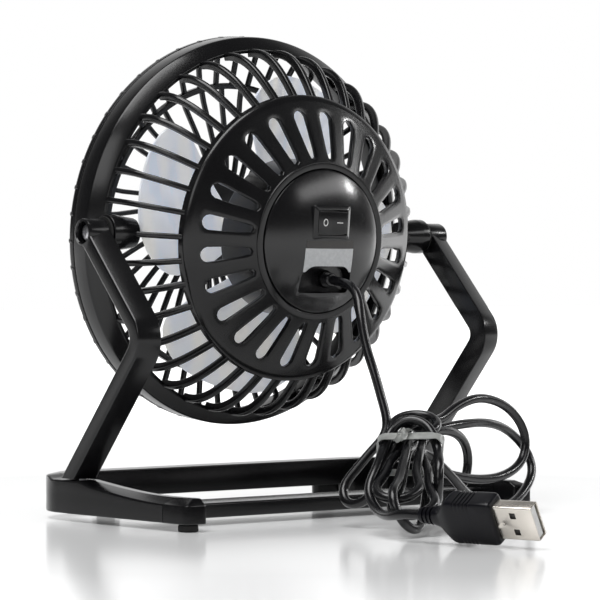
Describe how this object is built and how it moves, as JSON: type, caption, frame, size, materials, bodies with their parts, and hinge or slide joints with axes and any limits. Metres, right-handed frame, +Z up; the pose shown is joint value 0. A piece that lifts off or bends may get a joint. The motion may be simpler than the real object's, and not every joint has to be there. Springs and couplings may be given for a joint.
{
  "type": "desk fan",
  "caption": "Small black desk fan on a tilting chevron stand, with a ribbed cage, an aluminium impeller, a rocker switch behind and a tied USB lead",
  "frame": {"origin": "on the surface that the feet stand on, under the middle of the base", "axes": "+Z up, -Y the way the fan blows, +Y the side of the switch and the lead, +X the right of someone facing the grille"},
  "size_m": [0.1612, 0.2078, 0.1714],
  "materials": {
    "satin_black": "black ABS, satin moulding",
    "gloss_black": "black ABS, polished moulding",
    "rubber": "black rubber, matt",
    "cord_black": "black flexible PVC, semi-gloss",
    "aluminium": "bright rolled sheet",
    "nickel": "nickel-plated steel, satin",
    "steel": "zinc-plated steel",
    "clear_tie": "milky translucent twist tie"
  },
  "bodies": {
    "stand": {"base_frame": "satin_black", "arm_right": "satin_black", "arm_left": "satin_black", "pivot_washer_right": "steel", "pivot_washer_left": "steel", "pivot_screw_right": "steel", "pivot_screw_left": "steel", "arm_screw_right": "steel", "arm_screw_left": "steel", "rail_end_right": "satin_black", "rail_end_left": "satin_black", "foot_rear_right": "rubber", "foot_rear_left": "rubber", "foot_front_right": "rubber", "foot_front_left": "rubber", "cord_run": "cord_black", "cord_side_loop": "cord_black", "cord_hank": "cord_black", "cord_loops": "cord_black", "cord_small_loop": "cord_black", "cord_tail": "cord_black", "cord_tie": "clear_tie", "usb_grip": "cord_black", "usb_shell": "nickel", "usb_tongue": "satin_black"},
    "head": {"rear_cage_1": "satin_black", "rear_cage_2": "satin_black", "rear_cage_3": "satin_black", "rear_cage_4": "satin_black", "rear_cage_5": "satin_black", "rear_cage_6": "satin_black", "rear_cage_7": "satin_black", "rear_cage_8": "satin_black", "rear_cage_9": "satin_black", "rear_cage_10": "satin_black", "rear_cage_11": "satin_black", "rear_cage_12": "satin_black", "rear_plate": "satin_black", "front_grille": "satin_black", "motor_cover": "gloss_black", "strain_relief": "cord_black", "motor_body": "steel", "motor_bush": "steel", "motor_screw_left": "steel", "motor_screw_right": "steel", "switch_housing": "satin_black", "switch_terminal_left": "steel", "switch_terminal_right": "steel"},
    "rotor": {"fan_impeller": "aluminium", "impeller_hub": "satin_black", "hub_nut": "satin_black", "motor_shaft": "steel"},
    "rocker": {"switch_rocker": "satin_black"}
  },
  "joints": [
    {"name": "head_tilt", "type": "hinge", "parent": "stand", "child": "head", "pos_m": [0, -0.0095, 0.0988], "axis": [1, 0, 0], "range_deg": [-90, 90], "deforming": ["cord_run"]},
    {"name": "rotor_spin", "type": "hinge", "parent": "head", "child": "rotor", "pos_m": [0, -0.0095, 0.0988], "axis": [0, 0.9959, -0.0906], "continuous": true},
    {"name": "switch_rock", "type": "hinge", "parent": "head", "child": "rocker", "pos_m": [0, 0.02561, 0.10263], "axis": [0, 0.0906, 0.9959], "range_deg": [0, 16]}
  ]
}
